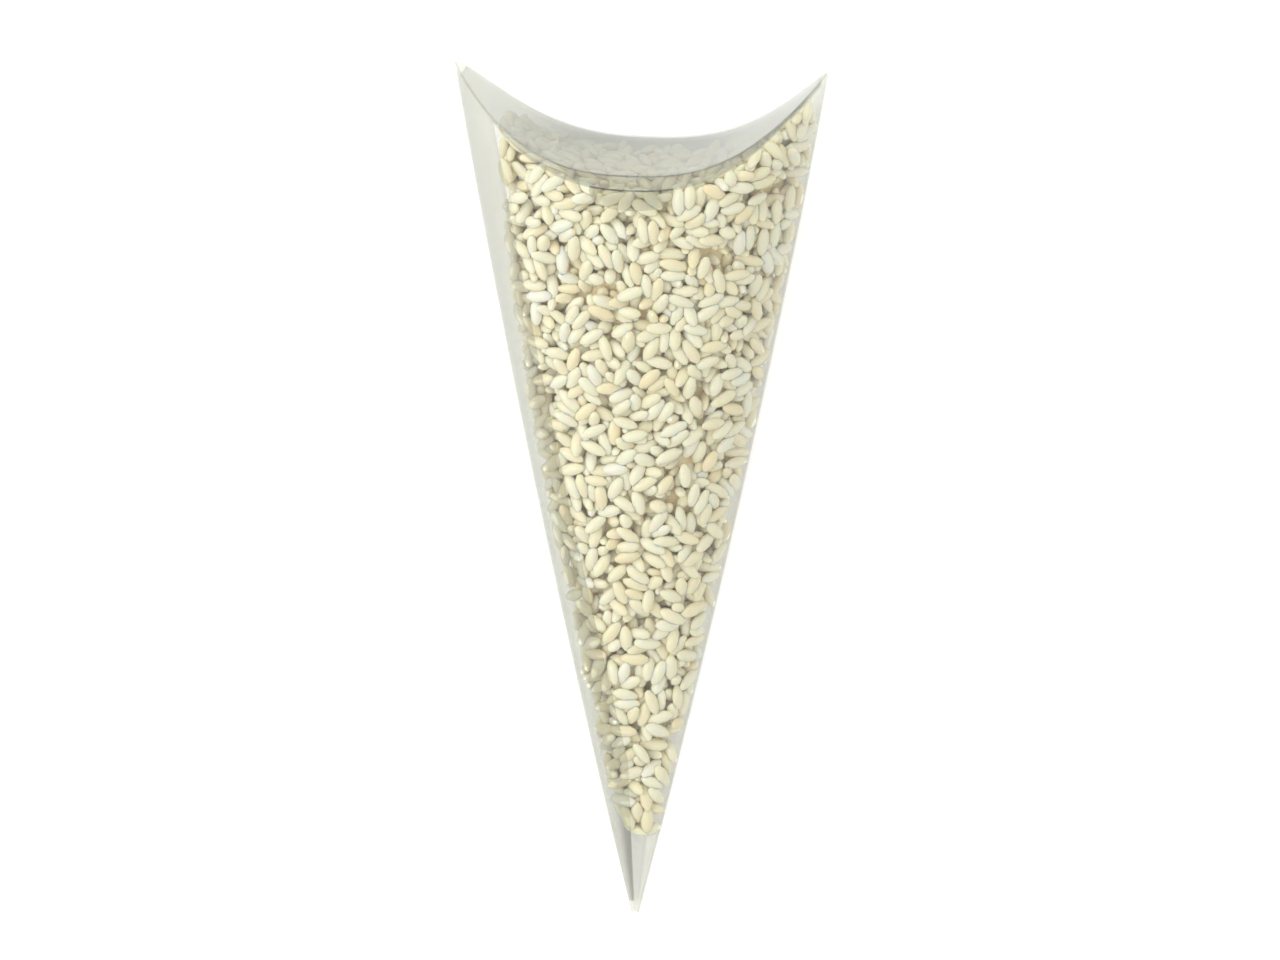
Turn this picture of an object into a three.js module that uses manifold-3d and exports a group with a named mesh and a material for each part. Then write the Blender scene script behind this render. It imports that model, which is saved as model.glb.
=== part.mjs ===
// A favour cone of clear PVC film filled with white rice, in millimetres, +Z up.
// One die-cut sheet is scored and folded: two bulged panels meet at two side edges, which run from a
// blunt tip to two raised horns, and two flaps scored along a curve close the top as a sunken lid.
// It lies on its back panel, with its tip towards -Y, its lid towards +Y and its front panel up.
import * as THREE from "three";
import { mergeVertices } from "three/addons/utils/BufferGeometryUtils.js";
import Module from "manifold-3d";

// The folded sheet
const HEIGHT = 190; // from the tip to the horns, along the cone's own axis
const HORN_WIDTH = 80; // between the horns
const HORN_DEPTH = 40; // front to back, of the section as it would be at the horns' level
const TIP_WIDTH = 2;
const TIP_DEPTH = 1.4;
const EDGE_BOW = 1.6; // how far each side edge bows outwards at half height
const FULLNESS = 0.6; // 0 makes the section a lens of two parabolas, and nearer 1 squares its sides
const REST_SHARE = 0.3; // the share of the back panel's width that the weight presses flat
const FILM = 0.3;

// The lid's two flaps
const LID_DIP = 20; // how far the curved score sinks below the horns
const LID_POWER = 2.8; // 2 makes the score a parabola, and more makes its ends steeper
const FLAP_END = 0.95; // where the flaps stop short of the horns, as a share of the half width
const FLAP_GAP = 0.35; // between the two flaps, and between a free edge and the panel it meets
const FLAP_SHORT = 1; // how far the outer flap's free edge stops short of the back score
const TUCK = 3.4; // how far the inner flap's free edge sits below the front score
const TUCK_SHARE = 0.8; // the share of the width over which it is tucked
const TONGUE_WIDTH = 17;
const TONGUE_REACH = 4.5;

// The glued flap inside the left edge
const GLUE_WIDTH = 8;
const GLUE_START = 6; // from the tip
const GLUE_END = 6; // below the front score

// The rice
const GRAIN_LENGTH = 5.6;
const GRAIN_WIDTH = 2.6;
const GRAIN_THICKNESS = 2.1;
const FRONT_PITCH = 5.5; // from one grain to the next on the front
const BACK_PITCH = 7.8; // the same on the back, where fewer stand out
const RICE_GAP = 0.4; // between the rice and the film
const GRAIN_SINK = 0.1; // how far the modelled grains stay inside that surface
const RICE_START = 18; // from the tip to the lowest grains
const LEFT_SLACK = 10; // the empty wedge along the left edge, at the horns' level
const RIGHT_SLACK = 2.6; // the same along the right edge
const LOW_SLACK = 1.8; // both wedges near the tip

// How finely the curved surfaces are divided
const RICE_COLUMNS = 13;
const RICE_ROWS = 8;
const PANEL_ROWS = 12;
const FLAT_COLUMNS = 4;
const EDGE_COLUMNS = 7;

const wasm = await Module();
wasm.setup();

const { lerp: mix, clamp } = THREE.MathUtils;

// The cone's own frame has x to the right, y up the axis from the tip, and z out of the front panel.
function halfWidth(y) {
  const t = y / HEIGHT;
  return mix(TIP_WIDTH, HORN_WIDTH, t) / 2 + EDGE_BOW * 4 * t * (1 - t);
}

function halfDepth(y) {
  return mix(TIP_DEPTH, HORN_DEPTH, y / HEIGHT) / 2;
}

// The section's outline: 1 in the middle, and 0 at the side edges, where s is -1 or 1.
function bulge(s) {
  return (1 - s * s) / (1 - FULLNESS * s * s);
}

// How far a panel stands out from the mid plane, where side is 1 on the front and -1 on the back,
// for the film's outer surface moved inwards by inset.
function standOff(x, y, side, inset) {
  const s = clamp(x / halfWidth(y), -1, 1);
  const pressed = side < 0 && Math.abs(s) <= REST_SHARE;
  const share = pressed ? bulge(REST_SHARE) : bulge(s);
  const steepness = (2 * s * (1 - FULLNESS)) / (1 - FULLNESS * s * s) ** 2;
  const slope = pressed ? 0 : (steepness * halfDepth(y)) / halfWidth(y);
  return share * halfDepth(y) - inset * Math.hypot(1, slope);
}

// The half width at which the inset front and back meet.
function insetWidth(y, inset) {
  const slope = (2 * halfDepth(y)) / ((1 - FULLNESS) * halfWidth(y));
  return halfWidth(y) - inset * Math.hypot(1, 1 / slope);
}

// The height of the lid's curved score, at share s of the half width.
function lidHeight(s) {
  return HEIGHT - LID_DIP * (1 - Math.abs(s) ** LID_POWER);
}

// The share s at which the score has the given x.
function lidShare(x) {
  let s = (2 * x) / HORN_WIDTH;
  for (let i = 0; i < 8; i++) s = clamp(x / halfWidth(lidHeight(s)), -1, 1);
  return s;
}

// A point of the score at share s, sunk below it by depth, at right angles to the curve.
function lidPoint(s, depth) {
  const at = (v) => new THREE.Vector2(halfWidth(lidHeight(v)) * v, lidHeight(v));
  const along = at(s + 0.001)
    .sub(at(s - 0.001))
    .normalize();
  return at(s).add(new THREE.Vector2(along.y, -along.x).multiplyScalar(depth));
}

// The height, at a given x, of the surface that lies depth below the score.
function heightUnderLid(x, depth) {
  const s = lidShare(x);
  const slope = (LID_DIP * LID_POWER * Math.abs(s) ** (LID_POWER - 1)) / (HORN_WIDTH / 2);
  return lidHeight(s) - depth * Math.hypot(1, slope);
}

// How far below the score the inner flap's free edge sits.
function tuckDepth(s) {
  const least = FILM + FLAP_GAP;
  return least + (TUCK - least) * Math.max(0, 1 - (s / TUCK_SHARE) ** 2);
}

// A manifold-3d solid from a closed geometry, with the points that fall together merged.
function solidOf(geometry) {
  const merged = mergeVertices(geometry, 1e-4);
  const tris = [];
  for (let i = 0; i < merged.index.count; i += 3) {
    const [a, b, c] = [0, 1, 2].map((k) => merged.index.getX(i + k));
    if (a !== b && b !== c && c !== a) tris.push(a, b, c);
  }
  const vertProperties = merged.attributes.position.array;
  const triVerts = new Uint32Array(tris);
  return new wasm.Manifold(new wasm.Mesh({ numProp: 3, vertProperties, triVerts }));
}

// The solid between two surfaces over the same grid. Seen from the upper one, the first parameter
// runs to the right and the second one up.
function slab(across, along, upper, lower) {
  const points = [];
  for (const surface of [upper, lower]) {
    for (const w of along) for (const u of across) points.push(surface(u, w));
  }
  const columns = across.length;
  const rows = along.length;
  const faces = [];
  const quad = (a, b, c, d) => faces.push(a, b, c, a, c, d);
  const top = (i, j) => j * columns + i;
  const under = (i, j) => rows * columns + top(i, j);
  for (let j = 0; j + 1 < rows; j++) {
    for (let i = 0; i + 1 < columns; i++) {
      quad(top(i, j), top(i + 1, j), top(i + 1, j + 1), top(i, j + 1));
      quad(under(i, j), under(i, j + 1), under(i + 1, j + 1), under(i + 1, j));
    }
    const last = columns - 1;
    quad(top(0, j), top(0, j + 1), under(0, j + 1), under(0, j));
    quad(top(last, j), under(last, j), under(last, j + 1), top(last, j + 1));
  }
  for (let i = 0; i + 1 < columns; i++) {
    const last = rows - 1;
    quad(top(i, 0), under(i, 0), under(i + 1, 0), top(i + 1, 0));
    quad(top(i, last), top(i + 1, last), under(i + 1, last), under(i, last));
  }
  return solidOf(new THREE.BufferGeometry().setFromPoints(points).setIndex(faces));
}

// Even steps from one value to another.
function steps(from, to, count) {
  return Array.from({ length: count + 1 }, (_, i) => mix(from, to, i / count));
}

// Where a section is divided: evenly over the pressed part, and closer together towards its edges.
function sectionColumns() {
  const turns = steps(0, Math.PI / 2, EDGE_COLUMNS).slice(1);
  const edge = turns.map((turn) => mix(REST_SHARE, 1, Math.sin(turn)));
  return [
    ...edge.map((s) => -s).reverse(),
    ...steps(-REST_SHARE, REST_SHARE, FLAT_COLUMNS),
    ...edge,
  ];
}

// The pouch's body, moved inwards by inset, from one height up to lift above the score.
function pouch(inset, bottom, lift) {
  const panel = (side) => (s, t) => {
    const y = mix(bottom, lidHeight(s) + lift, t);
    const x = s * insetWidth(y, inset);
    const z = Math.abs(s) === 1 ? 0 : Math.max(0.01, standOff(x, y, side, inset));
    return new THREE.Vector3(x, y, side * z);
  };
  return slab(sectionColumns(), steps(0, 1, PANEL_ROWS), panel(1), panel(-1));
}

// The two panels, open along the lid and by a small hole at the tip.
function panels() {
  return pouch(0, 0, 0).subtract(pouch(FILM, -1, 8));
}

// A flap of the lid. Its place front to back is w, from 0 at the front score to 1 at the back one.
function flap(depthAt, frontInset, backInset) {
  const across = sectionColumns().map((s) => s * FLAP_END);
  const surface = (thickness) => (s, w) => {
    const p = lidPoint(s, depthAt(s, w) + thickness);
    const front = standOff(p.x, p.y, 1, frontInset);
    const back = -standOff(p.x, p.y, -1, backInset);
    return new THREE.Vector3(p.x, p.y, mix(front, back, w));
  };
  return slab(across, [0, 0.5, 1], surface(0), surface(FILM));
}

// The outer flap is scored to the front panel and lies over the inner one. It is made a little too
// long at its score, and cut flush with the front panel's face.
function outerFlap() {
  return flap((s, w) => -(FILM + FLAP_GAP) * w, -FILM, FLAP_SHORT).intersect(pouch(0, 0, 3));
}

// The inner flap is scored to the back panel and slopes down behind the front one.
function innerFlap() {
  return flap((s, w) => tuckDepth(s) * (1 - w), FILM + FLAP_GAP, -FILM).intersect(pouch(0, 0, 0));
}

// A layer that follows the front panel, from one inset to a deeper one, cut to an outline.
function frontLayer(from, to, outline) {
  const cutter = new THREE.ExtrudeGeometry(outline, { depth: HORN_DEPTH, bevelEnabled: false });
  cutter.deleteAttribute("normal");
  cutter.deleteAttribute("uv");
  return pouch(from, -1, 8).subtract(pouch(to, -2, 9)).intersect(solidOf(cutter));
}

// The rounded tongue on the inner flap's free edge, bent down behind the front panel. A margin
// around it gives the room that the rice leaves it.
function tongue(margin) {
  const top = heightUnderLid(0, TUCK + FILM / 5) + margin;
  const low = heightUnderLid(0, TUCK + FILM + TONGUE_REACH) - margin;
  const x = TONGUE_WIDTH / 2 + margin;
  const outline = new THREE.Shape();
  outline.moveTo(-x, top);
  outline.bezierCurveTo(-x, mix(top, low, 0.75), -x / 2, low, 0, low);
  outline.bezierCurveTo(x / 2, low, x, mix(top, low, 0.75), x, top);
  const face = FILM + FLAP_GAP;
  return frontLayer(face - margin, face + FILM + margin, outline);
}

// The glued flap: a second layer on the front panel's inner side, along its left edge.
function glueFlap() {
  const inner = (y) => -halfWidth(y) + Math.min(GLUE_WIDTH, 0.85 * halfWidth(y));
  const top = heightUnderLid(inner(HEIGHT), GLUE_END);
  const outline = new THREE.Shape();
  outline.moveTo(-HORN_WIDTH, GLUE_START);
  for (const y of steps(GLUE_START, top, PANEL_ROWS)) outline.lineTo(inner(y), y);
  outline.lineTo(-halfWidth(HEIGHT), heightUnderLid(-halfWidth(HEIGHT), GLUE_END));
  outline.lineTo(-HORN_WIDTH, HEIGHT - GLUE_END);
  return frontLayer(FILM / 2, 2 * FILM, outline);
}

// The rice's surface, sunk by bury below the grains' tops. Its side is 1 on the front and -1 on the
// back, u runs from -1 on the left to 1 on the right, and t from 0 at the tip's end to 1 under the lid.
function riceSurface(u, t, side, bury) {
  const inset = FILM + RICE_GAP + bury;
  const left = (y) => -halfWidth(y) + mix(LOW_SLACK, LEFT_SLACK, (y / HEIGHT) ** 4) + bury;
  const right = (y) => halfWidth(y) - mix(LOW_SLACK, RIGHT_SLACK, (y / HEIGHT) ** 4) - bury;
  let y = mix(RICE_START, HEIGHT, t);
  let x = 0;
  for (let i = 0; i < 12; i++) {
    x = mix(left(y), right(y), (u + 1) / 2);
    const flapDepth = side > 0 ? tuckDepth(lidShare(x)) : 0;
    y = mix(RICE_START + bury, heightUnderLid(x, flapDepth + inset), t);
  }
  const rounding = Math.sqrt(1 - 0.9 * u ** 6);
  return new THREE.Vector3(x, y, side * rounding * standOff(x, y, side, inset));
}

function riceBody(bury) {
  const panel = (side) => (u, t) => riceSurface(u, t, side, bury);
  return slab(steps(-1, 1, RICE_COLUMNS), steps(0, 1, RICE_ROWS), panel(1), panel(-1));
}

// A repeatable stream of numbers from 0 to 1, by a linear congruence.
function makeRandom(seed) {
  let state = seed;
  return () => {
    state = (state * 1664525 + 1013904223) % 4294967296;
    return state / 4294967296;
  };
}

// One grain at a point, with its flat side along the normal and its length turned by an angle.
const grainShape = new THREE.SphereGeometry(0.5, 4, 2);
grainShape.scale(GRAIN_WIDTH, GRAIN_LENGTH, GRAIN_THICKNESS);
grainShape.deleteAttribute("normal");
grainShape.deleteAttribute("uv");
function grain(point, normal, angle) {
  const side = new THREE.Vector3(0, 1, 0).cross(normal).normalize();
  const up = normal.clone().cross(side);
  const along = up.multiplyScalar(Math.cos(angle)).addScaledVector(side, Math.sin(angle));
  const across = along.clone().cross(normal);
  const place = new THREE.Matrix4().makeBasis(across, along, normal);
  place.setPosition(point.clone().addScaledVector(normal, -GRAIN_SINK - GRAIN_THICKNESS / 2));
  return solidOf(grainShape.clone().applyMatrix4(place));
}

// Grains in jittered rows all over one side of the rice.
function grainsOnSide(side, pitch, random) {
  const grains = [];
  const reach = heightUnderLid(0, TUCK) - RICE_START;
  const rows = Math.round(reach / pitch);
  const margin = (0.9 * GRAIN_WIDTH) / reach;
  for (let r = 0; r < rows; r++) {
    const t = mix(margin, 1 - margin, (r + 0.5) / rows);
    const width = 2.4 * halfWidth(mix(RICE_START, HEIGHT, t)) - LOW_SLACK;
    const count = Math.max(1, Math.round(width / pitch));
    for (let c = 0; c < count; c++) {
      const place = c + (r % 2 ? 0.3 : 0.7) + 0.4 * (random() - 0.5);
      const u = clamp((2 * place) / count - 1, -0.88, 0.88);
      const v = clamp(t + (0.5 * (random() - 0.5)) / rows, margin, 1 - margin);
      const at = riceSurface(u, v, side, 0);
      const right = riceSurface(Math.min(u + 0.02, 1), v, side, 0).sub(at);
      const up = riceSurface(u, v + 0.01, side, 0).sub(at);
      const normal = right.cross(up).multiplyScalar(side).normalize();
      grains.push(grain(at, normal, Math.PI * random()));
    }
  }
  return grains;
}

function riceFill() {
  const random = makeRandom(11);
  const grains = [
    ...grainsOnSide(1, FRONT_PITCH, random),
    ...grainsOnSide(-1, BACK_PITCH, random),
  ];
  const heap = wasm.Manifold.union([riceBody(GRAIN_SINK + 0.38 * GRAIN_THICKNESS), ...grains]);
  return heap.intersect(riceBody(0)).subtract(tongue(RICE_GAP));
}

function coneFilm() {
  return wasm.Manifold.union([panels(), outerFlap(), innerFlap(), tongue(0), glueFlap()]);
}

// A named mesh with flat facets from a manifold-3d solid.
function meshOf(name, made, material) {
  const { numProp, vertProperties, triVerts } = made.getMesh();
  const points = [];
  for (let i = 0; i < vertProperties.length; i += numProp) {
    points.push(new THREE.Vector3(...vertProperties.subarray(i, i + 3)));
  }
  const shared = new THREE.BufferGeometry().setFromPoints(points);
  shared.setIndex([...triVerts]);
  const geometry = shared.toNonIndexed();
  geometry.computeVertexNormals();
  const mesh = new THREE.Mesh(geometry, material);
  mesh.name = name;
  return mesh;
}

const clearFilm = new THREE.MeshStandardMaterial({
  color: "#e6e9e4",
  roughness: 0.08,
  metalness: 0,
  transparent: true,
  opacity: 0.3,
});
const whiteRice = new THREE.MeshStandardMaterial({ color: "#ebe3c6", roughness: 0.55, metalness: 0 });

const cone = new THREE.Group();
cone.add(meshOf("cone_film", coneFilm(), clearFilm));
cone.add(meshOf("rice_fill", riceFill(), whiteRice));

// The pressed part of the back panel is a plane through the tip, and it lies on the ground.
const taper = (bulge(REST_SHARE) * (HORN_DEPTH - TIP_DEPTH)) / 2 / HEIGHT;
cone.rotation.x = Math.atan(taper);

const favourCone = new THREE.Group();
favourCone.add(cone);
favourCone.updateMatrixWorld(true);
const box = new THREE.Box3().setFromObject(cone, true);
const middle = box.getCenter(new THREE.Vector3());
cone.position.set(-middle.x, -middle.y, -box.min.z);

export default favourCone;
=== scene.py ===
# %% [markdown]
# # A clear favour cone filled with rice
# The real thing is one die-cut sheet of clear PVC, folded into a bulged pouch that tapers from two
# horns to a blunt tip, and filled with milled white rice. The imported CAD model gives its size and
# place. Here the film gets smooth folds and a clear finish, and the rice becomes thousands of grains.

# %% Load the frame
import itertools
import math

import bpy
import numpy as np
from mathutils import Matrix, Vector


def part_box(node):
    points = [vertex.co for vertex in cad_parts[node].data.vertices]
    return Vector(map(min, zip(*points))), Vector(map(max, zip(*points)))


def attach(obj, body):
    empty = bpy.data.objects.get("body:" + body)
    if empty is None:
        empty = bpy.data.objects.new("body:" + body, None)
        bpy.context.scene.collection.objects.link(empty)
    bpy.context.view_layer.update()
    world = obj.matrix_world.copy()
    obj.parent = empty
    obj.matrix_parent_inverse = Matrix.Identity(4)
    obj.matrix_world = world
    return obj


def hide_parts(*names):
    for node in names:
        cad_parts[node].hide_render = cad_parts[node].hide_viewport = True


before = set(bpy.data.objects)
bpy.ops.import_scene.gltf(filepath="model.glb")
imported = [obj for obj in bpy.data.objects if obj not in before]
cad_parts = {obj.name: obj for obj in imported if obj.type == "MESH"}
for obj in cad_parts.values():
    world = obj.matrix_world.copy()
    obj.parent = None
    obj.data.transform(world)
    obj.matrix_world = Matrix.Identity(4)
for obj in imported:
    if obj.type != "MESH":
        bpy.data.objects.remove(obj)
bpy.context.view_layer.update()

# %% [markdown]
# ## The cone's own frame
# Every shape here comes from a few formulas in millimetres: x runs to the right, y up the axis from
# the tip, and z out of the front panel. The cone lies on its back panel, whose pressed middle is a
# plane through the tip, so one tilt and one move take these formulas to the model's place.

# %% The outline and the section of the panels
MM = 0.001
HEIGHT = 190
HORN_WIDTH = 80
HORN_DEPTH = 40
TIP_WIDTH = 2
TIP_DEPTH = 1.4
EDGE_BOW = 1.6
FULLNESS = 0.6
REST_SHARE = 0.3


def mix(a, b, t):
    return a + (b - a) * t


def half_width(y):
    t = y / HEIGHT
    return mix(TIP_WIDTH, HORN_WIDTH, t) / 2 + EDGE_BOW * 4 * t * (1 - t)


def half_depth(y):
    return mix(TIP_DEPTH, HORN_DEPTH, y / HEIGHT) / 2


def bulge(s):
    """The section's height at share s of the half width, from 1 in the middle to 0 at the edge."""
    return (1 - s * s) / (1 - FULLNESS * s * s)


def bulge_slope(s):
    return -2 * s * (1 - FULLNESS) / (1 - FULLNESS * s * s) ** 2


def section(s, y, side):
    """A panel's height and slope across the cone. The weight presses the back's middle flat."""
    pressed = (np.abs(s) <= REST_SHARE) & (np.asarray(side) < 0)
    share = np.where(pressed, bulge(REST_SHARE), bulge(s))
    slope = np.where(pressed, 0, bulge_slope(s) * half_depth(y) / half_width(y))
    return share, slope


def stand_off(x, y, side, inset):
    """How far a panel stands out from the mid plane, moved inwards by inset."""
    share, slope = section(np.clip(x / half_width(y), -1, 1), y, side)
    return share * half_depth(y) - inset * np.hypot(1, slope)


print("half width and half depth, halfway up:", half_width(HEIGHT / 2), half_depth(HEIGHT / 2), "mm")

# %% The lid's curved score
LID_DIP = 20
LID_POWER = 2.8
SHARE_ROUNDS = 8
NUDGE = 0.001


def lid_height(s):
    return HEIGHT - LID_DIP * (1 - np.abs(s) ** LID_POWER)


def lid_share(x):
    """The share of the half width at which the lid's score has this x."""
    s = 2 * x / HORN_WIDTH
    for _ in range(SHARE_ROUNDS):
        s = np.clip(x / half_width(lid_height(s)), -1, 1)
    return s


def lid_point(s, depth):
    """A point of the score at share s, sunk by depth at right angles to the curve."""
    ahead, behind = s + NUDGE, s - NUDGE
    dx = half_width(lid_height(ahead)) * ahead - half_width(lid_height(behind)) * behind
    dy = lid_height(ahead) - lid_height(behind)
    length = np.hypot(dx, dy)
    y = lid_height(s)
    return half_width(y) * s + depth * dy / length, y - depth * dx / length


def height_under_lid(x, depth):
    s = lid_share(x)
    slope = LID_DIP * LID_POWER * np.abs(s) ** (LID_POWER - 1) / (HORN_WIDTH / 2)
    return lid_height(s) - depth * np.hypot(1, slope)


print("middle of the lid's score at", lid_height(0), "mm, its ends at", lid_height(1), "mm")

# %% How deep the inner flap is tucked behind the front panel
FILM = 0.3
FLAP_GAP = 0.35
TUCK = 3.4
TUCK_SHARE = 0.8


def tuck_depth(s):
    """Deepest in the middle of the score. Past TUCK_SHARE the flap only clears the outer one."""
    least = FILM + FLAP_GAP
    return least + (TUCK - least) * np.maximum(0, 1 - (s / TUCK_SHARE) ** 2)


# %% From the cone's frame to the model's
film_low, film_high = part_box("cone_film")
tilt = math.atan(bulge(REST_SHARE) * (HORN_DEPTH - TIP_DEPTH) / 2 / HEIGHT)
turn = np.array(
    [
        [1, 0, 0],
        [0, math.cos(tilt), -math.sin(tilt)],
        [0, math.sin(tilt), math.cos(tilt)],
    ]
)
middle_x = (film_low[0] + film_high[0]) / 2
front_of_tip = half_depth(0) * math.sin(tilt) * MM
back_of_tip = bulge(REST_SHARE) * half_depth(0) * math.cos(tilt) * MM
origin = np.array([middle_x, film_low[1] + front_of_tip, film_low[2] + back_of_tip])


def place(points):
    """Points in the cone's frame, in millimetres, as points in the model's frame, in metres."""
    return np.asarray(points, float) @ turn.T * MM + origin


print("tilt", round(math.degrees(tilt), 2), "degrees; tip at", place([0, 0, 0]).round(4))

# %% [markdown]
# ## Camera
# The cone is seen nearly square on to its front panel, from a little to its right and a little
# towards its lid, through a long lens. As it lies down, the camera looks down on it. The middle of
# the cone's axis is set to fall on one pixel of the picture, and the lens follows from the scale.

# %% Camera
IMAGE_WIDTH, IMAGE_HEIGHT = 1280, 960
CONE_MIDDLE_AT = (638.0, 496.5)
PIXELS_PER_MM = 4.66
AZIMUTH = math.radians(6.5)
ELEVATION = math.radians(16.4)
ROLL = math.radians(0.4)
DISTANCE = 7 * HEIGHT
SENSOR = 36
VIEW_END = 20

to_camera = np.array(
    [
        math.sin(AZIMUTH) * math.cos(ELEVATION),
        math.sin(ELEVATION),
        math.cos(AZIMUTH) * math.cos(ELEVATION),
    ]
)
right = np.array([math.cos(AZIMUTH), 0, -math.sin(AZIMUTH)])
up = np.cross(to_camera, right)
right, up = (
    math.cos(ROLL) * right + math.sin(ROLL) * up,
    math.cos(ROLL) * up - math.sin(ROLL) * right,
)
across = (IMAGE_WIDTH / 2 - CONE_MIDDLE_AT[0]) / PIXELS_PER_MM
above = (CONE_MIDDLE_AT[1] - IMAGE_HEIGHT / 2) / PIXELS_PER_MM
aim = np.array([0, HEIGHT / 2, 0]) + right * across + up * above

bpy.ops.object.select_all(action="DESELECT")
bpy.ops.object.camera_add()
camera = bpy.context.object
camera.data.sensor_width = SENSOR
camera.data.lens = PIXELS_PER_MM * DISTANCE * SENSOR / IMAGE_WIDTH
camera.data.clip_end = VIEW_END
pose = np.eye(4)
pose[:3, :3] = turn @ np.stack([right, up, to_camera], axis=1)
pose[:3, 3] = place(aim + to_camera * DISTANCE)
camera.matrix_world = Matrix(pose.tolist())
bpy.context.scene.camera = camera
print("lens", round(camera.data.lens, 1), "mm")

# %% [markdown]
# ## Materials
# One function turns a written sRGB colour to the linear values that Blender wants, and one adds a
# node with its settings and links.

# %% Material helpers
def linear(hex_colour):
    """An sRGB hex colour as linear RGBA."""
    parts = [int(hex_colour[i : i + 2], 16) / 255 for i in (1, 3, 5)]
    return [p / 12.92 if p <= 0.04045 else ((p + 0.055) / 1.055) ** 2.4 for p in parts] + [1]


def add_node(tree, kind, inputs=None, **settings):
    """A node with its settings, whose inputs get values or links from other nodes' outputs."""
    node = tree.nodes.new(kind)
    for name, value in settings.items():
        setattr(node, name, value)
    for name, value in (inputs or {}).items():
        if isinstance(value, bpy.types.NodeSocket):
            tree.links.new(value, node.inputs[name])
        else:
            node.inputs[name].default_value = value
    return node


def new_material(name):
    material = bpy.data.materials.new(name)
    material.use_nodes = True
    material.node_tree.nodes.clear()
    return material, material.node_tree


# %% [markdown]
# ### Clear rigid PVC film
# Calendered PVC of 0.3 mm is glass clear and glossy. A refracting glass shader could make it, but it
# would keep the lamps' light off the rice. So two shaders are mixed by Fresnel: one that light goes
# straight through, less a few per cent at each face, and a mirror that grows as the film turns edge
# on, which makes the lid and the side edges look milky. A real sheet mirrors at both of its faces.
# Here the face where light comes out has no mirror, and the other one has a third more instead.
# A trace of haze stands for dust and handling, and a slow ripple for film that was rolled up.

# %% Clear PVC film
PVC_IOR = 1.53
BOTH_FACES = 1.35
HAZE_FACE_ON, HAZE_EDGE_ON = 0.01, 0.09
RIPPLE_SPACING = 22.2

film_clear, tree = new_material("clear_pvc_film")
slant = add_node(tree, "ShaderNodeLayerWeight", {"Blend": 0.5})
tint = add_node(tree, "ShaderNodeValToRGB", {"Fac": slant.outputs["Facing"]})
tint.color_ramp.elements[0].color = linear("#FAFAF8")
tint.color_ramp.elements[1].color = linear("#F0F0ED")
clear = add_node(tree, "ShaderNodeBsdfTransparent", {"Color": tint.outputs["Color"]})
milk = add_node(tree, "ShaderNodeBsdfDiffuse", {"Color": linear("#E9E8E2")})
haze = add_node(
    tree,
    "ShaderNodeMapRange",
    {"Value": slant.outputs["Facing"], "To Min": HAZE_FACE_ON, "To Max": HAZE_EDGE_ON},
)
see_through = add_node(
    tree,
    "ShaderNodeMixShader",
    {0: haze.outputs["Result"], 1: clear.outputs["BSDF"], 2: milk.outputs["BSDF"]},
)
ripple = add_node(
    tree,
    "ShaderNodeTexNoise",
    {
        "Vector": add_node(tree, "ShaderNodeTexCoord").outputs["Object"],
        "Scale": 1 / (RIPPLE_SPACING * MM),
        "Detail": 1,
    },
)
bump = add_node(
    tree, "ShaderNodeBump", {"Height": ripple.outputs["Fac"], "Strength": 0.08, "Distance": MM}
)
mirror = add_node(
    tree,
    "ShaderNodeBsdfGlossy",
    {"Color": linear("#C4C6C4"), "Roughness": 0.05, "Normal": bump.outputs["Normal"]},
)
fresnel = add_node(tree, "ShaderNodeFresnel", {"IOR": PVC_IOR, "Normal": bump.outputs["Normal"]})
geometry = add_node(tree, "ShaderNodeNewGeometry")
outer_face = add_node(
    tree, "ShaderNodeMath", {0: 1.0, 1: geometry.outputs["Backfacing"]}, operation="SUBTRACT"
)
mirrored = fresnel.outputs["Fac"]
for factor in (outer_face.outputs["Value"], BOTH_FACES):
    product = add_node(tree, "ShaderNodeMath", {0: mirrored, 1: factor}, operation="MULTIPLY")
    mirrored = product.outputs["Value"]
film_mix = add_node(
    tree,
    "ShaderNodeMixShader",
    {0: mirrored, 1: see_through.outputs["Shader"], 2: mirror.outputs["BSDF"]},
)
add_node(tree, "ShaderNodeOutputMaterial", {"Surface": film_mix.outputs["Shader"]})
print(film_clear.name, len(tree.nodes), "nodes")

# %% [markdown]
# ### Milled white rice
# A milled grain is a creamy, slightly glassy starch body with a soft polish. Light sinks most of a
# millimetre in, so grains glow at their edges, and the gaps between them turn warm because light
# bounces there many times. Some grains are chalky and some more yellow, so each one has its own tone,
# which its mesh keeps as an attribute.

# %% Milled white rice
RICE_TONES = {0: "#F6E9CA", 0.35: "#FAF0D7", 0.8: "#FCF5E3", 1: "#FDF8EE"}
LIGHT_SINKS = 0.8


def set_ramp(ramp, tones):
    """Give a colour ramp its colours by place. A new ramp has one at 0 and one at 1."""
    ramp.elements[0].color = linear(tones[0])
    ramp.elements[1].color = linear(tones[1])
    for position in sorted(tones)[1:-1]:
        ramp.elements.new(position).color = linear(tones[position])


rice_white, tree = new_material("milled_white_rice")
tone = add_node(tree, "ShaderNodeAttribute", attribute_name="tone")
tones = add_node(tree, "ShaderNodeValToRGB", {"Fac": tone.outputs["Fac"]})
set_ramp(tones.color_ramp, RICE_TONES)
rice_skin = add_node(
    tree,
    "ShaderNodeBsdfPrincipled",
    {
        "Base Color": tones.outputs["Color"],
        "Roughness": 0.22,
        "IOR": 1.5,
        "Subsurface Weight": 1.0,
        "Subsurface Radius": (1.0, 0.82, 0.55),
        "Subsurface Scale": LIGHT_SINKS * MM,
    },
)
add_node(tree, "ShaderNodeOutputMaterial", {"Surface": rice_skin.outputs["BSDF"]})
print(rice_white.name, len(tree.nodes), "nodes")

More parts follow.
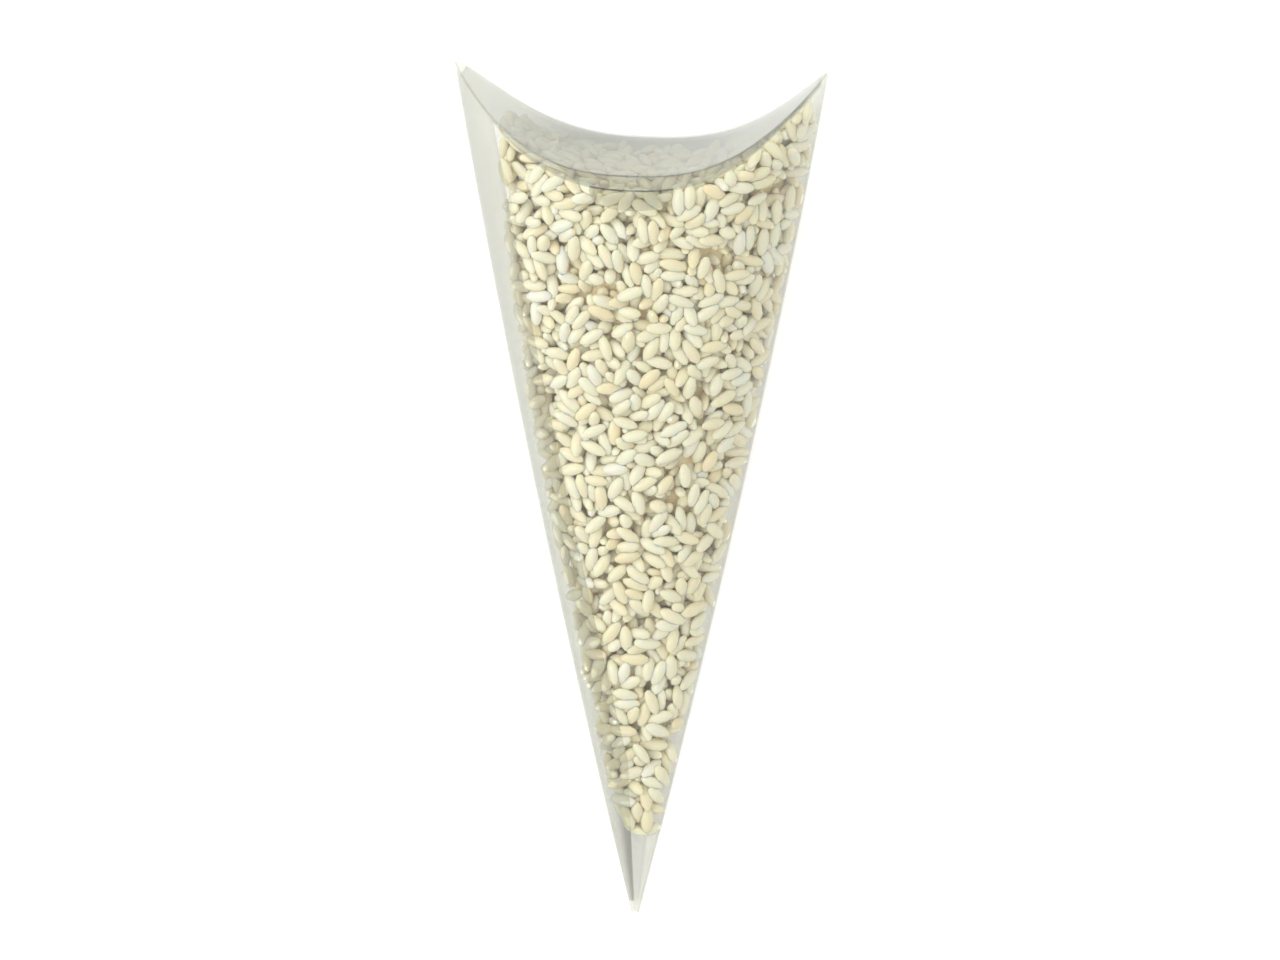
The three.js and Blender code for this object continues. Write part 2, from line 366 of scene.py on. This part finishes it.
# %% [markdown]
# ## The folded film
# Each face of the sheet starts as a flat grid, as the real one starts as flat film, and is wrapped
# over its formula. Extruding or bending a sheet could make the panels, but not a lid whose two
# curved scores have to meet them all along. Grids that share a score are joined and welded there, the
# scores are rounded with a narrow bevel, and Solidify gives the sheet its thickness on the inside.

# %% Wrap a grid
def wrapped_grid(name, columns, rows, surface):
    """A grid primitive whose points lie at surface(column value, row value), facing its outside."""
    bpy.ops.object.select_all(action="DESELECT")
    bpy.ops.mesh.primitive_grid_add(
        x_subdivisions=len(columns) - 1, y_subdivisions=len(rows) - 1, size=1
    )
    sheet = bpy.context.object
    sheet.name = name
    flat = np.empty(len(sheet.data.vertices) * 3)
    sheet.data.vertices.foreach_get("co", flat)
    flat = flat.reshape(-1, 3) + 0.5
    i = np.rint(flat[:, 0] * (len(columns) - 1)).astype(int)
    j = np.rint(flat[:, 1] * (len(rows) - 1)).astype(int)
    points = place(surface(np.asarray(columns)[i], np.asarray(rows)[j]))
    sheet.data.vertices.foreach_set("co", points.ravel())
    sheet.data.update()
    return sheet


def crowded(count):
    """Places from -1 to 1 that crowd at both ends, where the surface curves the most."""
    return np.sin(np.linspace(-math.pi / 2, math.pi / 2, count))


# %% The two panels
INNER_END = 0.95
OUTER_END = 0.985
PANEL_COLUMNS, PANEL_ROWS = 45, 61
HAIR = 1e-9

flap_ends = [-OUTER_END, -INNER_END, INNER_END, OUTER_END]
columns = np.unique(np.concatenate([crowded(PANEL_COLUMNS), flap_ends]).round(9))
rows = np.linspace(0, 1, PANEL_ROWS)


def panel(side):
    def surface(s, t):
        y = lid_height(s) * t
        x = half_width(y) * s
        edge = np.abs(s) > 1 - HAIR
        return np.stack([x, y, side * np.where(edge, 0, stand_off(x, y, side, 0))], axis=-1)

    return surface


front_panel = wrapped_grid("front_panel", columns, rows, panel(1))
back_panel = wrapped_grid("back_panel", columns[::-1], rows, panel(-1))
print("panel faces:", len(front_panel.data.polygons))

# %% [markdown]
# ### The lid
# The outer flap is scored to the front panel and lies over the inner one, which is scored to the
# back panel and slopes down behind the front one. The tongue in the middle of the inner flap's free
# edge is bent down behind the front panel. The flaps use the panels' own columns, so that every point
# of a score has its twin to be welded to.

# %% The lid's two flaps
FLAP_SHORT = 1
inner_columns = columns[np.abs(columns) <= INNER_END + HAIR]
outer_columns = columns[np.abs(columns) <= OUTER_END + HAIR]
flap_rows = np.linspace(0, 1, 13)


def outer_surface(s, w):
    """w runs from the front score to the flap's free edge, just short of the back panel."""
    x, y = lid_point(s, -(FILM + FLAP_GAP) * w)
    front = stand_off(x, y, 1, 0)
    back = -stand_off(x, y, -1, FLAP_SHORT)
    return np.stack([x, y, mix(front, back, w)], axis=-1)


def inner_surface(s, w):
    """w runs from the tucked free edge to the back score."""
    x, y = lid_point(s, tuck_depth(s) * (1 - w))
    front = stand_off(x, y, 1, FILM + FLAP_GAP)
    back = -stand_off(x, y, -1, 0)
    return np.stack([x, y, mix(front, back, w)], axis=-1)


outer_flap = wrapped_grid("outer_flap", outer_columns, flap_rows, outer_surface)
inner_flap = wrapped_grid("inner_flap", inner_columns, flap_rows, inner_surface)
print("flap faces:", len(outer_flap.data.polygons), len(inner_flap.data.polygons))

# %% The tongue
TONGUE_WIDTH = 17
TONGUE_REACH = 4.5
TONGUE_POWER = 2.6


def tongue_surface(u, w):
    """u runs across the tongue from -1 to 1, and w up from its round end to the flap."""
    s = lid_share(u * TONGUE_WIDTH / 2)
    reach = TONGUE_REACH * (1 - np.abs(u) ** TONGUE_POWER) ** (1 / TONGUE_POWER)
    x, y = lid_point(s, tuck_depth(s) + reach * (1 - w))
    return np.stack([x, y, stand_off(x, y, 1, FILM + FLAP_GAP)], axis=-1)


tongue = wrapped_grid("tongue", crowded(25), np.linspace(0, 1, 9), tongue_surface)
print("tongue faces:", len(tongue.data.polygons))

# %% [markdown]
# ### The glued flap
# A narrow flap of the back panel is glued inside the left edge of the front one. It shows as a faint
# line beside the edge. It stops short of the lid and of the tip, so its free end is solved for, a few
# rounds at a time, because its height depends on how far across it lies.

# %% The glued flap
GLUE_WIDTH = 8
GLUE_START = 3
GLUE_END = 1
MOST_OF_HALF = 0.85
EDGE_GAP, PANEL_GAP = 1.2 * FILM, 1.1 * FILM
SOLVE_ROUNDS = 12


def glue_surface(u, t):
    """u runs from the left edge to the flap's free edge, and t up from the tip's end."""
    y = mix(GLUE_START, HEIGHT, t)
    for _ in range(SOLVE_ROUNDS):
        width = np.minimum(GLUE_WIDTH, MOST_OF_HALF * half_width(y))
        x = -half_width(y) + mix(EDGE_GAP, width, u)
        y = mix(GLUE_START, height_under_lid(x, GLUE_END), t)
    return np.stack([x, y, stand_off(x, y, 1, PANEL_GAP)], axis=-1)


glue_flap = wrapped_grid("glue_flap", np.linspace(0, 1, 9), rows, glue_surface)
print("glued flap faces:", len(glue_flap.data.polygons))

# %% Join and weld
WELD = 0.002 * MM


def weld(name, parts, closed=False):
    """Join parts to one piece and merge the points that they share. A closed one faces outwards."""
    bpy.ops.object.select_all(action="DESELECT")
    for part in parts:
        part.select_set(True)
    piece = bpy.context.view_layer.objects.active = parts[0]
    bpy.ops.object.join()
    piece.name = piece.data.name = name
    bpy.ops.object.mode_set(mode="EDIT")
    bpy.ops.mesh.select_all(action="SELECT")
    bpy.ops.mesh.remove_doubles(threshold=WELD)
    if closed:
        bpy.ops.mesh.normals_make_consistent(inside=False)
    bpy.ops.object.mode_set(mode="OBJECT")
    return piece


film = weld(
    "folded_film", [front_panel, back_panel, outer_flap, inner_flap, tongue, glue_flap]
)
print("welded film:", len(film.data.vertices), "points")

# %% Round the scores and give the sheet its thickness
SCORE_ROUNDING = 0.3
SCORE_ANGLE = math.radians(35)
SMOOTH_ANGLE = math.radians(40)


def apply_modifier(piece, kind, **settings):
    bpy.ops.object.select_all(action="DESELECT")
    piece.select_set(True)
    bpy.context.view_layer.objects.active = piece
    modifier = piece.modifiers.new(kind.title(), kind)
    for name, value in settings.items():
        setattr(modifier, name, value)
    bpy.ops.object.modifier_apply(modifier=modifier.name)


apply_modifier(
    film,
    "BEVEL",
    width=SCORE_ROUNDING * MM,
    segments=2,
    limit_method="ANGLE",
    angle_limit=SCORE_ANGLE,
)
apply_modifier(film, "SOLIDIFY", thickness=FILM * MM, offset=-1, use_even_offset=True)
bpy.ops.object.shade_smooth_by_angle(angle=SMOOTH_ANGLE)
print("film triangles:", sum(len(p.vertices) - 2 for p in film.data.polygons))

# %% [markdown]
# Solidify can push a point of a sharp corner a few hundredths of a millimetre out of the CAD node's
# box, so the film's points are held to that box. Then the sheet gets its finish and takes the place
# of the CAD node.

# %% Keep the film in its box and hand it over
def hand_over(piece, node, material):
    piece.data.materials.clear()
    piece.data.materials.append(material)
    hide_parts(node)
    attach(piece, "root")


points = np.empty(len(film.data.vertices) * 3)
film.data.vertices.foreach_get("co", points)
held = np.clip(points.reshape(-1, 3), film_low, film_high)
film.data.vertices.foreach_set("co", held.ravel())
film.data.update()
hand_over(film, "cone_film", film_clear)
print("moved by up to", round(float(np.abs(held.ravel() - points).max()) / MM, 3), "mm")

# %% [markdown]
# ## The rice
# Rice poured into a cone packs at random: grains lie flat along the film and every way deeper in.
# Thousands of rigid bodies would be slow to simulate, so each grain is five balls in a row on an
# axis, and a few lines push overlapping balls apart and keep them all inside the film. In the photo
# the rice leaves a wedge empty along the left edge, which is widest at the lid.

# %% Where the rice may lie
RICE_START = 18
LEFT_SLACK, LOW_SLACK = 10, 1.8
SLACK_POWER = 4
LEFT_LEAN = 0.2
RICE_CLEARANCE = 0.15
ROOM_BESIDE_TONGUE, ROOM_BELOW_TONGUE = 1, 1.5
TINY = 1e-6


def left_slack(y):
    return mix(LOW_SLACK, LEFT_SLACK, (np.clip(y, 0, HEIGHT) / HEIGHT) ** SLACK_POWER)


def limits(points):
    """How far each point is inside every limit, and the way in, as (distance, direction) pairs."""
    x, y, z = points.T
    found = []
    for side in (1, -1):
        near_tongue = (
            (side > 0)
            & (np.abs(x) < TONGUE_WIDTH / 2 + ROOM_BESIDE_TONGUE)
            & (y > lid_height(0) - TUCK - TONGUE_REACH - ROOM_BELOW_TONGUE)
        )
        inset = FILM + RICE_CLEARANCE + np.where(near_tongue, FILM + FLAP_GAP, 0)
        s = np.clip(x / half_width(y), -1, 1)
        share, slope = section(s, y, side)
        taper = share * (HORN_DEPTH - TIP_DEPTH) / 2 / HEIGHT - slope * s * HORN_WIDTH / 2 / HEIGHT
        length = np.sqrt(1 + slope**2 + taper**2)
        inside = (share * half_depth(y) - side * z) / length - inset
        way = np.stack([slope, taper, -side * np.ones_like(x)], -1)
        found.append((inside, way / length[:, None]))
    s = lid_share(x)
    front, back = stand_off(x, y, 1, 0), stand_off(x, y, -1, 0)
    backwards = np.clip((front - z) / np.maximum(front + back, TINY), 0, 1)
    slope = np.sign(s) * LID_DIP * LID_POWER * np.abs(s) ** (LID_POWER - 1) / (HORN_WIDTH / 2)
    length = np.hypot(1, slope)
    depth = tuck_depth(s) * (1 - backwards) + FILM + RICE_CLEARANCE
    inside = (lid_height(s) - y) / length - depth
    found.append((inside, np.stack([slope, -np.ones_like(x), 0 * x], -1) / length[:, None]))
    left = x + half_width(y) - left_slack(y)
    found.append((left, np.tile([1.0, LEFT_LEAN, 0], (len(x), 1)) / math.hypot(1, LEFT_LEAN)))
    found.append((y - RICE_START, np.tile([0, 1.0, 0], (len(x), 1))))
    return found


def nearest_limit(points):
    """How far each point is inside the limit that it is nearest to, and the way in from there."""
    found = limits(points)
    depths = np.stack([inside for inside, _ in found])
    ways = np.stack([way for _, way in found])
    nearest, each = np.argmin(depths, axis=0), np.arange(len(points))
    return depths[nearest, each], ways[nearest, each]


# %% [markdown]
# ### Sowing
# Points are thrown into the cone's box, and the first ones that lie deep enough inside the film are
# kept, as many as poured rice has grains. A grain near the film is turned to lie along it. One in
# twenty-five is broken and short, as in any bag of rice.

# %% Sow the grains
SEED = 7
THROWS = 60000
RICE_SHARE = 0.68
GRAIN_VOLUME = 18.5
SOW_DEPTH = 0.9
FLAT_AT_FILM, FLAT_FADES_OVER, FLATTEST = 1.25, 3.5, 0.9
BROKEN_SHARE, BROKEN_LENGTH = 0.04, 0.62

random = np.random.default_rng(SEED)
low = np.array([-HORN_WIDTH / 2, RICE_START, -HORN_DEPTH / 2])
high = np.array([HORN_WIDTH / 2, HEIGHT, HORN_DEPTH / 2])
throws = random.uniform(low, high, (THROWS, 3))
throw_depth, _ = nearest_limit(throws)
room = (throw_depth > 0).mean() * np.prod(high - low)
centres = throws[throw_depth > SOW_DEPTH][: int(room * RICE_SHARE / GRAIN_VOLUME)]
count = len(centres)
heading = random.normal(size=(count, 3))
sown_depth, film_way = nearest_limit(centres)
flatness = np.clip(FLAT_AT_FILM - sown_depth / FLAT_FADES_OVER, 0, FLATTEST)[:, None]
heading -= flatness * film_way * (heading * film_way).sum(1, keepdims=True)
heading /= np.linalg.norm(heading, axis=1, keepdims=True)
size = random.normal(1, 0.04, count).clip(0.9, 1.1)
broken = random.random(count) < BROKEN_SHARE
stretch = np.where(broken, BROKEN_LENGTH, random.normal(1, 0.05, count).clip(0.88, 1.12))
print("room for rice:", round(room / 1000, 1), "cubic centimetres;", count, "grains")

# %% [markdown]
# To find the balls that touch, space is cut into cells a little wider than the widest ball. Each ball
# only looks at its own cell and half of the cells around it, so that every pair is found once.

# %% Find neighbours
HALF_AROUND = [
    cell
    for cell in itertools.product((0, 1), (-1, 0, 1), (-1, 0, 1))
    if cell >= (0, 0, 0)
]


def close_pairs(points, reach):
    cell = np.floor((points - points.min(0)) / reach).astype(np.int64) + 1
    span = cell.max(0) + 2
    key = (cell[:, 0] * span[1] + cell[:, 1]) * span[2] + cell[:, 2]
    order = np.argsort(key, kind="stable")
    ordered = key[order]
    firsts, seconds = [], []
    for dx, dy, dz in HALF_AROUND:
        step = (dx * span[1] + dy) * span[2] + dz
        start = np.searchsorted(ordered, key + step, "left")
        many = np.searchsorted(ordered, key + step, "right") - start
        first = np.repeat(np.arange(len(points)), many)
        within = np.arange(many.sum()) - np.repeat(np.cumsum(many) - many, many)
        second = order[np.repeat(start, many) + within]
        if step == 0:
            keep = second > first
            first, second = first[keep], second[keep]
        firsts.append(first)
        seconds.append(second)
    first, second = np.concatenate(firsts), np.concatenate(seconds)
    near = np.linalg.norm(points[first] - points[second], axis=1) < reach
    return first[near], second[near]


# %% [markdown]
# ### Settling
# In each round, balls that overlap push each other apart, which moves and turns their grains, and
# then every ball that is past a limit moves its grain back in. A grain with many contacts moves less,
# or the heap would boil. The neighbours are looked up again every few rounds.

# %% Each grain as five balls: place along its axis and radius, in millimetres
BALLS = np.array([[-2.1, 0.55], [-1.1, 0.98], [0, 1.14], [1.1, 0.98], [2.1, 0.55]])
owner = np.repeat(np.arange(count), len(BALLS))
along = (BALLS[None, :, 0] * (size * stretch)[:, None]).ravel()
radius = (BALLS[None, :, 1] * size[:, None]).ravel()
lever = np.bincount(owner, along**2, count)[:, None]


def ball_places():
    return centres[owner] + heading[owner] * along[:, None]


def add_up(values):
    """The sum over each grain's balls."""
    return np.stack([np.bincount(owner, values[:, k], count) for k in range(3)], axis=-1)


def straighten(heading):
    return heading / np.linalg.norm(heading, axis=1, keepdims=True)


# %% Settle the grains
ROUNDS = 150
NEIGHBOUR_ROUNDS = 8
NEIGHBOUR_REACH = 2.2 * radius.max()
CALM = 0.5
PUSH, TWIST = 1.2, 4
LIMIT_ROUNDS = 2
DEEP_OVERLAP = 0.2

for step in range(ROUNDS):
    balls = ball_places()
    if step % NEIGHBOUR_ROUNDS == 0:
        first, second = close_pairs(balls, NEIGHBOUR_REACH)
        apart = owner[first] != owner[second]
        first, second = first[apart], second[apart]
    gap = balls[first] - balls[second]
    distance = np.linalg.norm(gap, axis=1) + HAIR
    overlap = radius[first] + radius[second] - distance
    touching = overlap > 0
    push = gap[touching] * (0.5 * overlap[touching] / distance[touching])[:, None]
    moves = np.zeros_like(balls)
    hits = np.zeros(len(balls))
    for which, sign in ((first[touching], 1), (second[touching], -1)):
        for k in range(3):
            moves[:, k] += sign * np.bincount(which, push[:, k], len(balls))
        hits += np.bincount(which, minlength=len(balls))
    contacts = np.maximum(1, np.bincount(owner, hits, count) * CALM)[:, None]
    centres = centres + PUSH * add_up(moves) / contacts
    heading = straighten(heading + TWIST * add_up(moves * along[:, None]) / lever / contacts)
    for _ in range(LIMIT_ROUNDS):
        balls = ball_places()
        for inside, inwards in limits(balls):
            out = np.maximum(0, radius - inside)[:, None] * inwards
            hit = np.maximum(1, np.bincount(owner, (out != 0).any(1), count))[:, None]
            centres = centres + add_up(out) / hit
            heading = straighten(heading + add_up(out * along[:, None]) / lever)
print("deep overlaps left:", int((overlap > DEEP_OVERLAP).sum()), "of", len(overlap))

# %% [markdown]
# ### The core
# The middle of the rice never shows. From a few grains down, a closed body stands for it. Its warm
# colour is painted light, for light that comes back from there after bouncing off many grains and
# turning yellow on the way. Cells as wide as a grain are paler in their middles and darker and warmer
# at their edges. That is painted shade between grains, and it keeps a glimpse of the core from
# looking flat.

# %% Packed rice, seen deep between the grains
# Painted light and shade: the warm tones stand for light bounced among many grains, and the darker,
# warmer tone at 1 is painted shade at the cells' edges.
CORE_PAINTED_BOUNCE_AND_SHADE = {0: "#F5ECCF", 0.45: "#F3E6C4", 1: "#E4CB98"}
PACKED_GRAIN = 3.2
PACKED_RELIEF = 1.2

core_painted_light_and_shade, tree = new_material("packed_rice_painted_light_and_shade")
packed = add_node(
    tree,
    "ShaderNodeTexVoronoi",
    {
        "Vector": add_node(tree, "ShaderNodeTexCoord").outputs["Object"],
        "Scale": 1 / (PACKED_GRAIN * MM),
    },
)
# Painted shade: the farther a point is from its cell's middle, the darker and warmer it is painted.
painted_bounce_and_gap_shade = add_node(tree, "ShaderNodeValToRGB", {"Fac": packed.outputs["Distance"]})
set_ramp(painted_bounce_and_gap_shade.color_ramp, CORE_PAINTED_BOUNCE_AND_SHADE)
humps = add_node(
    tree,
    "ShaderNodeBump",
    {"Height": packed.outputs["Distance"], "Strength": 0.8, "Distance": PACKED_RELIEF * MM},
    invert=True,
)
matt_rice = add_node(
    tree,
    "ShaderNodeBsdfPrincipled",
    {"Base Color": painted_bounce_and_gap_shade.outputs["Color"], "Roughness": 0.6, "Normal": humps.outputs["Normal"]},
)
add_node(tree, "ShaderNodeOutputMaterial", {"Surface": matt_rice.outputs["BSDF"]})
print(core_painted_light_and_shade.name, len(tree.nodes), "nodes")

# %% Model the core
CORE_DEPTH = 5
CORE_THINNEST = 0.05
SIDE_POWER, END_POWER = 6, 16
core_start = RICE_START + 2.2 * CORE_DEPTH / (HORN_DEPTH / HEIGHT)


def core_surface(side):
    def surface(u, t):
        """u runs across from -1 to 1 and t upwards. Both faces meet in the mid plane at the rim."""
        y = mix(RICE_START, HEIGHT, t)
        for _ in range(SOLVE_ROUNDS):
            slope = 2 * half_depth(y) / ((1 - FULLNESS) * half_width(y))
            rightmost = half_width(y) - CORE_DEPTH * np.hypot(1, 1 / slope)
            leftmost = np.maximum(-rightmost, -half_width(y) + left_slack(y) + CORE_DEPTH)
            x = mix(leftmost, rightmost, (u + 1) / 2)
            y = mix(core_start, height_under_lid(x, tuck_depth(lid_share(x)) + CORE_DEPTH), t)
        v = 2 * t - 1
        ends = np.sqrt(1 - np.abs(u) ** SIDE_POWER) * np.sqrt(1 - np.abs(v) ** END_POWER)
        rim = (np.abs(u) > 1 - HAIR) | (np.abs(v) > 1 - HAIR)
        z = np.maximum(CORE_THINNEST, stand_off(x, y, side, CORE_DEPTH)) * ends
        return np.stack([x, y, side * np.where(rim, 0, z)], axis=-1)

    return surface


core_columns = crowded(25).round(9)
core_rows = (crowded(31) / 2 + 0.5).round(9)
core_front = wrapped_grid("core_front", core_columns, core_rows, core_surface(1))
core_back = wrapped_grid("core_back", core_columns[::-1], core_rows, core_surface(-1))
rice_core = weld("rice_core", [core_front, core_back], closed=True)
hand_over(rice_core, "rice_fill", core_painted_light_and_shade)
print("core faces:", len(rice_core.data.polygons))

# %% [markdown]
# ### One grain
# A grain is a plump spindle, a little blunter at one end, with the notch that the germ leaves there
# when rice is milled. A UV sphere is nearly that already. It has few faces, because it is repeated
# thousands of times, and smooth shading hides them.

# %% Model one grain
GRAIN_LENGTH, GRAIN_WIDTH, GRAIN_THICKNESS = 5.9, 2.85, 2.15
BLUNTNESS = 0.06
NOTCH = 0.25

bpy.ops.object.select_all(action="DESELECT")
bpy.ops.mesh.primitive_uv_sphere_add(segments=8, ring_count=6, radius=1)
grain = bpy.context.object
ball = np.array([v.co[:] for v in grain.data.vertices])
# A sphere's faces come in another order in each run of Blender, so they are sorted.
faces = sorted(list(p.vertices) for p in grain.data.polygons)
bpy.data.objects.remove(grain)
lengthwise = ball[:, 2].copy()
plump = 1 + BLUNTNESS * lengthwise
by_blunt_end = (lengthwise > 0.6) & (lengthwise < 0.99)
notch = NOTCH * (by_blunt_end & (ball[:, 0] > 0.1))
grain_shape = np.stack(
    [
        ball[:, 0] * GRAIN_WIDTH / 2 * plump * (1 - notch),
        lengthwise * GRAIN_LENGTH / 2,
        ball[:, 1] * GRAIN_THICKNESS / 2 * plump,
    ],
    axis=-1,
)
print("one grain:", len(ball), "points,", len(faces), "faces")

# %% Turn and scale a copy for each place
LOOSENESS = 0.25
TONE_SPREAD = 2.2

grain_depth, inwards = nearest_limit(centres)
thick = -inwards - heading * (-inwards * heading).sum(1, keepdims=True)
loose = random.normal(size=(count, 3)) * LOOSENESS
thick = straighten(thick + loose - heading * (loose * heading).sum(1, keepdims=True))
flip = np.where(random.random(count) < 0.5, 1, -1)[:, None]
wide = np.cross(heading, thick) * flip
basis = np.stack([wide, heading, np.cross(wide, heading)], axis=1)
scaled = grain_shape[None] * np.stack([size, size * stretch, size], axis=-1)[:, None]
grain_points = place(np.einsum("gpi,gij->gpj", scaled, basis) + centres[:, None])
tone_of_grain = random.beta(TONE_SPREAD, TONE_SPREAD, count)
print("thickest heap:", round(float(grain_depth.max()), 1), "mm from any side")

# %% [markdown]
# Only the outer layers of grains are made, down to where the core hides the rest. Duplicating an
# object thousands of times would take minutes, so each half of the heap is written as one mesh with
# all its copies in it.

# %% Make the two halves of the heap
DEEPEST = 7.6


def rice_piece(name, chosen):
    """One mesh with a copy of the grain at each chosen place."""
    starts = np.arange(len(chosen)) * len(ball)
    corners = [[v + start for v in face] for start in starts.tolist() for face in faces]
    mesh = bpy.data.meshes.new(name)
    mesh.from_pydata(grain_points[chosen].reshape(-1, 3).tolist(), [], corners)
    mesh.polygons.foreach_set("use_smooth", [True] * len(mesh.polygons))
    mesh.attributes.new("tone", "FLOAT", "POINT")
    tone_of_point = np.repeat(tone_of_grain[chosen], len(ball)).astype(np.float32)
    mesh.attributes["tone"].data.foreach_set("value", tone_of_point)
    piece = bpy.data.objects.new(name, mesh)
    bpy.context.collection.objects.link(piece)
    hand_over(piece, "rice_fill", rice_white)
    print(name, len(chosen), "grains,", sum(len(f) - 2 for f in faces) * len(chosen), "triangles")


near_film = grain_depth < DEEPEST
rice_piece("rice_front", np.flatnonzero(near_film & (centres[:, 2] >= 0)))
rice_piece("rice_back", np.flatnonzero(near_film & (centres[:, 2] < 0)))

# %% [markdown]
# ## Studio
# The photo's ground is pure white, with hardly a shadow. A matt table does this: to the camera, to
# the film's mirror and through the film it glows a little on top of the light that falls on it, so
# it clips to white wherever the cone's soft shadow doesn't fall, and it lights the rice only as white
# paper would. The light comes from a white room, a big soft lamp from the left, a smaller one
# from beyond the lid, which reaches the rice below it, and a weak one from the right.

# %% Table
TABLE_WIDTH = 6
TABLE_GLOW = 0.35

white_table, tree = new_material("white_table")
light_path = add_node(tree, "ShaderNodeLightPath")
matt = add_node(tree, "ShaderNodeBsdfDiffuse", {"Color": linear("#F4F4F4")})
glow = add_node(tree, "ShaderNodeEmission", {"Color": linear("#FFFFFF"), "Strength": TABLE_GLOW})
both = add_node(tree, "ShaderNodeAddShader", {0: matt.outputs["BSDF"], 1: glow.outputs["Emission"]})
seen = light_path.outputs["Is Camera Ray"]
for ray in ("Is Transmission Ray", "Is Glossy Ray"):
    either = add_node(
        tree, "ShaderNodeMath", {0: seen, 1: light_path.outputs[ray]}, operation="MAXIMUM"
    )
    seen = either.outputs["Value"]
table_mix = add_node(
    tree,
    "ShaderNodeMixShader",
    {0: seen, 1: matt.outputs["BSDF"], 2: both.outputs["Shader"]},
)
add_node(tree, "ShaderNodeOutputMaterial", {"Surface": table_mix.outputs["Shader"]})
bpy.ops.object.select_all(action="DESELECT")
bpy.ops.mesh.primitive_plane_add(size=TABLE_WIDTH)
table = bpy.context.object
table.name = "table"
table.data.materials.append(white_table)
print("table", TABLE_WIDTH, "m wide")

# %% Lamps: direction in the cone's frame, width in metres and watts
LAMPS = {
    "key_lamp": ((-0.9, 0.15, 0.95), 0.8, 7),
    "top_lamp": ((-0.2, 1.0, 0.4), 0.7, 6),
    "fill_lamp": ((1.2, 0.1, 0.7), 0.5, 1),
}
LAMP_DISTANCE = 1.2
LIT_HEIGHT = 0.55 * HEIGHT


def soft_lamp(name, direction, width, watts):
    """A square lamp that shines at the cone from a direction in the cone's frame."""
    away = turn @ (np.array(direction) / np.linalg.norm(direction))
    position = place([0, LIT_HEIGHT, 0]) + away * LAMP_DISTANCE
    bpy.ops.object.light_add(type="AREA", location=position.tolist())
    lamp = bpy.context.object
    lamp.name = name
    lamp.data.size = width
    lamp.data.energy = watts
    lamp.rotation_euler = Vector((-away).tolist()).to_track_quat("-Z", "Y").to_euler()
    print(name, watts, "W")


for name, (direction, width, watts) in LAMPS.items():
    soft_lamp(name, direction, width, watts)

# %% White room
ROOM_STRENGTH = 1.0
world = bpy.data.worlds.new("studio")
bpy.context.scene.world = world
world.use_nodes = True
world.node_tree.nodes.clear()
room_light = add_node(
    world.node_tree,
    "ShaderNodeBackground",
    {"Color": linear("#FFFFFF"), "Strength": ROOM_STRENGTH},
)
add_node(world.node_tree, "ShaderNodeOutputWorld", {"Surface": room_light.outputs["Background"]})
bpy.context.scene.view_settings.view_transform = "Standard"
print("room strength", ROOM_STRENGTH)
